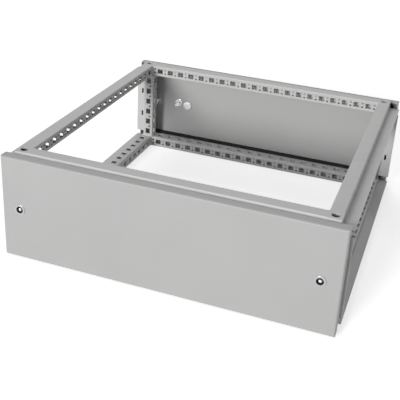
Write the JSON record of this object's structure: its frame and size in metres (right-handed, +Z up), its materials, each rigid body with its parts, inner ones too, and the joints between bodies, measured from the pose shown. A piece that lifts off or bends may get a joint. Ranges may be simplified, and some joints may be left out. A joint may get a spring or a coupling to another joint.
{
  "type": "enclosure frame module with front and rear panels",
  "caption": "Low square frame module of a floor enclosure: perforated welded rails and posts, open top, base and sides, and folded front and rear panels held by quarter-turn locks.",
  "frame": {"origin": "middle of the base, on the surface that the module stands on", "axes": "+X to the right seen from the front panel, +Y from the front panel to the rear panel, +Z up"},
  "size_m": [0.6, 0.603, 0.2],
  "materials": {
    "panel_paint": "fine textured light grey powder coat",
    "frame_paint": "satin light grey dip coat",
    "corner_paint": "satin light grey dip coat",
    "gasket_foam": "soft matt black foam",
    "lock_plating": "bright plated die casting",
    "zinc_plating": "bright zinc plating"
  },
  "bodies": {
    "frame": {"front_panel": "panel_paint", "rear_panel": "panel_paint", "front_gasket": "gasket_foam", "rear_gasket": "gasket_foam", "top_rail_front": "frame_paint", "top_rail_rear": "frame_paint", "top_rail_left": "frame_paint", "top_rail_right": "frame_paint", "bottom_rail_front": "frame_paint", "bottom_rail_rear": "frame_paint", "bottom_rail_left": "frame_paint", "bottom_rail_right": "frame_paint", "post_front_left": "frame_paint", "post_front_right": "frame_paint", "post_rear_left": "frame_paint", "post_rear_right": "frame_paint", "top_corner_front_left": "corner_paint", "top_corner_front_right": "corner_paint", "top_corner_rear_left": "corner_paint", "top_corner_rear_right": "corner_paint", "bottom_corner_front_left": "corner_paint", "bottom_corner_front_right": "corner_paint", "bottom_corner_rear_left": "corner_paint", "bottom_corner_rear_right": "corner_paint", "lock_housing_front_left": "lock_plating", "lock_housing_front_right": "lock_plating", "lock_housing_rear_left": "lock_plating", "lock_housing_rear_right": "lock_plating", "lock_nut_front_left": "zinc_plating", "lock_nut_front_right": "zinc_plating", "lock_nut_rear_left": "zinc_plating", "lock_nut_rear_right": "zinc_plating", "earth_stud_front": "zinc_plating", "earth_stud_rear": "zinc_plating", "earth_washer_front": "zinc_plating", "earth_washer_rear": "zinc_plating", "earth_nut_front": "zinc_plating", "earth_nut_rear": "zinc_plating", "earth_pad_front": "zinc_plating", "earth_pad_rear": "zinc_plating"},
    "lock_front_left": {"lock_core_front_left": "lock_plating", "lock_cam_front_left": "zinc_plating", "cam_screw_front_left": "zinc_plating"},
    "lock_front_right": {"lock_core_front_right": "lock_plating", "lock_cam_front_right": "zinc_plating", "cam_screw_front_right": "zinc_plating"},
    "lock_rear_left": {"lock_core_rear_left": "lock_plating", "lock_cam_rear_left": "zinc_plating", "cam_screw_rear_left": "zinc_plating"},
    "lock_rear_right": {"lock_core_rear_right": "lock_plating", "lock_cam_rear_right": "zinc_plating", "cam_screw_rear_right": "zinc_plating"}
  },
  "joints": [
    {"name": "quarter_turn_front_left", "type": "hinge", "parent": "frame", "child": "lock_front_left", "pos_m": [-0.262, -0.3, 0.1], "axis": [0, 1, 0], "range_deg": [0, 90]},
    {"name": "quarter_turn_front_right", "type": "hinge", "parent": "frame", "child": "lock_front_right", "pos_m": [0.262, -0.3, 0.1], "axis": [0, -1, 0], "range_deg": [0, 90]},
    {"name": "quarter_turn_rear_left", "type": "hinge", "parent": "frame", "child": "lock_rear_left", "pos_m": [-0.262, 0.3, 0.1], "axis": [0, 1, 0], "range_deg": [0, 90]},
    {"name": "quarter_turn_rear_right", "type": "hinge", "parent": "frame", "child": "lock_rear_right", "pos_m": [0.262, 0.3, 0.1], "axis": [0, -1, 0], "range_deg": [0, 90]}
  ]
}
